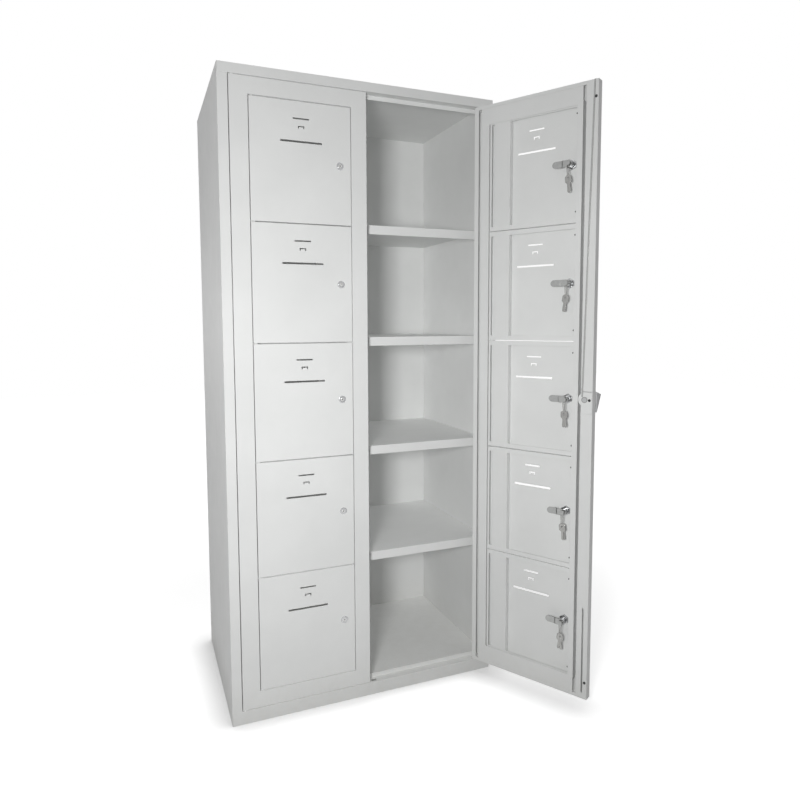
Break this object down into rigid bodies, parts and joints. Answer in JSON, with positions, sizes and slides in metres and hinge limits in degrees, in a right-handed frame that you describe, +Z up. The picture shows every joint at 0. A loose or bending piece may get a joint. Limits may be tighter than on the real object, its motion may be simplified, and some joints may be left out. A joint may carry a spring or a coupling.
{
  "type": "pigeonhole mail sorter",
  "caption": "Free-standing light-grey steel mail locker: two hinged master doors, each carrying a column of small lockable letter-box doors over shelved compartments; right leaf open.",
  "frame": {"origin": "middle of the base on the floor, under the centre partition", "axes": "+Z up, the front with the doors faces -Y, +X to the right as seen from the front"},
  "size_m": [1.0041, 0.8541, 1.8],
  "materials": {
    "carcass_paint": "light grey powder coat, fine texture",
    "leaf_paint": "light grey powder coat, fine texture",
    "box_door_paint": "light grey powder coat, fine texture",
    "lock_chrome": "satin chrome plate",
    "zinc_steel": "dull zinc plate",
    "key_steel": "nickel-plated",
    "handle_plastic": "satin moulded light grey"
  },
  "bodies": {
    "carcass": {"side_panel_left": "carcass_paint", "side_panel_right": "carcass_paint", "top_panel": "carcass_paint", "bottom_panel": "carcass_paint", "back_panel": "carcass_paint", "centre_partition": "carcass_paint", "base_stiffener": "carcass_paint", "shelf_left_1": "carcass_paint", "shelf_left_2": "carcass_paint", "shelf_left_3": "carcass_paint", "shelf_left_4": "carcass_paint", "shelf_right_1": "carcass_paint", "shelf_right_2": "carcass_paint", "shelf_right_3": "carcass_paint", "shelf_right_4": "carcass_paint"},
    "left_leaf": {"master_door_left": "leaf_paint", "inner_frame_left": "leaf_paint"},
    "left_box_door_1": {"small_door_left_1": "box_door_paint", "lock_barrel_left_1": "lock_chrome"},
    "left_cam_1": {"lock_cam_left_1": "zinc_steel"},
    "left_box_door_2": {"small_door_left_2": "box_door_paint", "lock_barrel_left_2": "lock_chrome"},
    "left_cam_2": {"lock_cam_left_2": "zinc_steel"},
    "left_box_door_3": {"small_door_left_3": "box_door_paint", "lock_barrel_left_3": "lock_chrome"},
    "left_cam_3": {"lock_cam_left_3": "zinc_steel"},
    "left_box_door_4": {"small_door_left_4": "box_door_paint", "lock_barrel_left_4": "lock_chrome"},
    "left_cam_4": {"lock_cam_left_4": "zinc_steel"},
    "left_box_door_5": {"small_door_left_5": "box_door_paint", "lock_barrel_left_5": "lock_chrome"},
    "left_cam_5": {"lock_cam_left_5": "zinc_steel"},
    "right_leaf": {"master_door_right": "leaf_paint", "inner_frame_right": "leaf_paint", "lock_plate": "leaf_paint"},
    "right_box_door_1": {"small_door_right_1": "box_door_paint", "lock_barrel_right_1": "lock_chrome"},
    "right_cam_1": {"lock_cam_right_1": "zinc_steel"},
    "right_keys_1": {"key_set_right_1": "key_steel"},
    "right_box_door_2": {"small_door_right_2": "box_door_paint", "lock_barrel_right_2": "lock_chrome"},
    "right_cam_2": {"lock_cam_right_2": "zinc_steel"},
    "right_keys_2": {"key_set_right_2": "key_steel"},
    "right_box_door_3": {"small_door_right_3": "box_door_paint", "lock_barrel_right_3": "lock_chrome"},
    "right_cam_3": {"lock_cam_right_3": "zinc_steel"},
    "right_keys_3": {"key_set_right_3": "key_steel"},
    "right_box_door_4": {"small_door_right_4": "box_door_paint", "lock_barrel_right_4": "lock_chrome"},
    "right_cam_4": {"lock_cam_right_4": "zinc_steel"},
    "right_keys_4": {"key_set_right_4": "key_steel"},
    "right_box_door_5": {"small_door_right_5": "box_door_paint", "lock_barrel_right_5": "lock_chrome"},
    "right_cam_5": {"lock_cam_right_5": "zinc_steel"},
    "right_keys_5": {"key_set_right_5": "key_steel"},
    "handle": {"handle": "handle_plastic", "lock_hub": "zinc_steel"},
    "upper_rod": {"upper_rod": "zinc_steel"},
    "lower_rod": {"lower_rod": "zinc_steel"}
  },
  "joints": [
    {"name": "left_leaf_hinge", "type": "hinge", "parent": "carcass", "child": "left_leaf", "pos_m": [-0.3715, -0.259, 0.0405], "axis": [0, 0, -1], "range_deg": [0, 120]},
    {"name": "left_box_door_1_hinge", "type": "hinge", "parent": "left_leaf", "child": "left_box_door_1", "pos_m": [-0.3214, -0.26, 1.5608], "axis": [0, 0, -1], "range_deg": [0, 105]},
    {"name": "left_cam_1_turn", "type": "hinge", "parent": "left_box_door_1", "child": "left_cam_1", "pos_m": [-0.08, -0.255, 1.5608], "axis": [0, 1, 0], "range_deg": [0, 180]},
    {"name": "left_box_door_2_hinge", "type": "hinge", "parent": "left_leaf", "child": "left_box_door_2", "pos_m": [-0.3214, -0.26, 1.2334], "axis": [0, 0, -1], "range_deg": [0, 105]},
    {"name": "left_cam_2_turn", "type": "hinge", "parent": "left_box_door_2", "child": "left_cam_2", "pos_m": [-0.08, -0.255, 1.2334], "axis": [0, 1, 0], "range_deg": [0, 180]},
    {"name": "left_box_door_3_hinge", "type": "hinge", "parent": "left_leaf", "child": "left_box_door_3", "pos_m": [-0.3214, -0.26, 0.906], "axis": [0, 0, -1], "range_deg": [0, 105]},
    {"name": "left_cam_3_turn", "type": "hinge", "parent": "left_box_door_3", "child": "left_cam_3", "pos_m": [-0.08, -0.255, 0.906], "axis": [0, 1, 0], "range_deg": [0, 180]},
    {"name": "left_box_door_4_hinge", "type": "hinge", "parent": "left_leaf", "child": "left_box_door_4", "pos_m": [-0.3214, -0.26, 0.5786], "axis": [0, 0, -1], "range_deg": [0, 105]},
    {"name": "left_cam_4_turn", "type": "hinge", "parent": "left_box_door_4", "child": "left_cam_4", "pos_m": [-0.08, -0.255, 0.5786], "axis": [0, 1, 0], "range_deg": [0, 180]},
    {"name": "left_box_door_5_hinge", "type": "hinge", "parent": "left_leaf", "child": "left_box_door_5", "pos_m": [-0.3214, -0.26, 0.2512], "axis": [0, 0, -1], "range_deg": [0, 105]},
    {"name": "left_cam_5_turn", "type": "hinge", "parent": "left_box_door_5", "child": "left_cam_5", "pos_m": [-0.08, -0.255, 0.2512], "axis": [0, 1, 0], "range_deg": [0, 180]},
    {"name": "right_leaf_hinge", "type": "hinge", "parent": "carcass", "child": "right_leaf", "pos_m": [0.3715, -0.259, 0.0405], "axis": [0, 0, 1], "range_deg": [-120, 0]},
    {"name": "right_box_door_1_hinge", "type": "hinge", "parent": "right_leaf", "child": "right_box_door_1", "pos_m": [0.39742, -0.30189, 1.5608], "axis": [0, 0, 1], "range_deg": [0, 105]},
    {"name": "right_cam_1_turn", "type": "hinge", "parent": "right_box_door_1", "child": "right_cam_1", "pos_m": [0.51379, -0.51345, 1.5608], "axis": [0.866, 0.5, 0], "range_deg": [0, 180]},
    {"name": "right_keys_1_swing", "type": "hinge", "parent": "right_box_door_1", "child": "right_keys_1", "pos_m": [0.49486, -0.52437, 1.5608], "axis": [0.866, 0.5, 0], "range_deg": [-30, 30]},
    {"name": "right_box_door_2_hinge", "type": "hinge", "parent": "right_leaf", "child": "right_box_door_2", "pos_m": [0.39742, -0.30189, 1.2334], "axis": [0, 0, 1], "range_deg": [0, 105]},
    {"name": "right_cam_2_turn", "type": "hinge", "parent": "right_box_door_2", "child": "right_cam_2", "pos_m": [0.51379, -0.51345, 1.2334], "axis": [0.866, 0.5, 0], "range_deg": [0, 180]},
    {"name": "right_keys_2_swing", "type": "hinge", "parent": "right_box_door_2", "child": "right_keys_2", "pos_m": [0.49486, -0.52437, 1.2334], "axis": [0.866, 0.5, 0], "range_deg": [-30, 30]},
    {"name": "right_box_door_3_hinge", "type": "hinge", "parent": "right_leaf", "child": "right_box_door_3", "pos_m": [0.39742, -0.30189, 0.906], "axis": [0, 0, 1], "range_deg": [0, 105]},
    {"name": "right_cam_3_turn", "type": "hinge", "parent": "right_box_door_3", "child": "right_cam_3", "pos_m": [0.51379, -0.51345, 0.906], "axis": [0.866, 0.5, 0], "range_deg": [0, 180]},
    {"name": "right_keys_3_swing", "type": "hinge", "parent": "right_box_door_3", "child": "right_keys_3", "pos_m": [0.49486, -0.52437, 0.906], "axis": [0.866, 0.5, 0], "range_deg": [-30, 30]},
    {"name": "right_box_door_4_hinge", "type": "hinge", "parent": "right_leaf", "child": "right_box_door_4", "pos_m": [0.39742, -0.30189, 0.5786], "axis": [0, 0, 1], "range_deg": [0, 105]},
    {"name": "right_cam_4_turn", "type": "hinge", "parent": "right_box_door_4", "child": "right_cam_4", "pos_m": [0.51379, -0.51345, 0.5786], "axis": [0.866, 0.5, 0], "range_deg": [0, 180]},
    {"name": "right_keys_4_swing", "type": "hinge", "parent": "right_box_door_4", "child": "right_keys_4", "pos_m": [0.49486, -0.52437, 0.5786], "axis": [0.866, 0.5, 0], "range_deg": [-30, 30]},
    {"name": "right_box_door_5_hinge", "type": "hinge", "parent": "right_leaf", "child": "right_box_door_5", "pos_m": [0.39742, -0.30189, 0.2512], "axis": [0, 0, 1], "range_deg": [0, 105]},
    {"name": "right_cam_5_turn", "type": "hinge", "parent": "right_box_door_5", "child": "right_cam_5", "pos_m": [0.51379, -0.51345, 0.2512], "axis": [0.866, 0.5, 0], "range_deg": [0, 180]},
    {"name": "right_keys_5_swing", "type": "hinge", "parent": "right_box_door_5", "child": "right_keys_5", "pos_m": [0.49486, -0.52437, 0.2512], "axis": [0.866, 0.5, 0], "range_deg": [-30, 30]},
    {"name": "handle_turn", "type": "hinge", "parent": "right_leaf", "child": "handle", "pos_m": [0.54229, -0.56281, 0.908], "axis": [0.866, 0.5, 0], "range_deg": [0, 90]},
    {"name": "upper_rod_slide", "type": "slide", "parent": "right_leaf", "child": "upper_rod", "axis": [0.0111, -0.0192, 0.9998], "range_m": [0, 0.011]},
    {"name": "lower_rod_slide", "type": "slide", "parent": "right_leaf", "child": "lower_rod", "axis": [-0.0017, 0.003, -1], "range_m": [0, 0.011]}
  ],
  "couplings": [
    {"joint": "handle_turn", "follows": "lower_rod_slide", "rad_per_m": 142.8},
    {"joint": "upper_rod_slide", "follows": "lower_rod_slide", "ratio": 1}
  ]
}
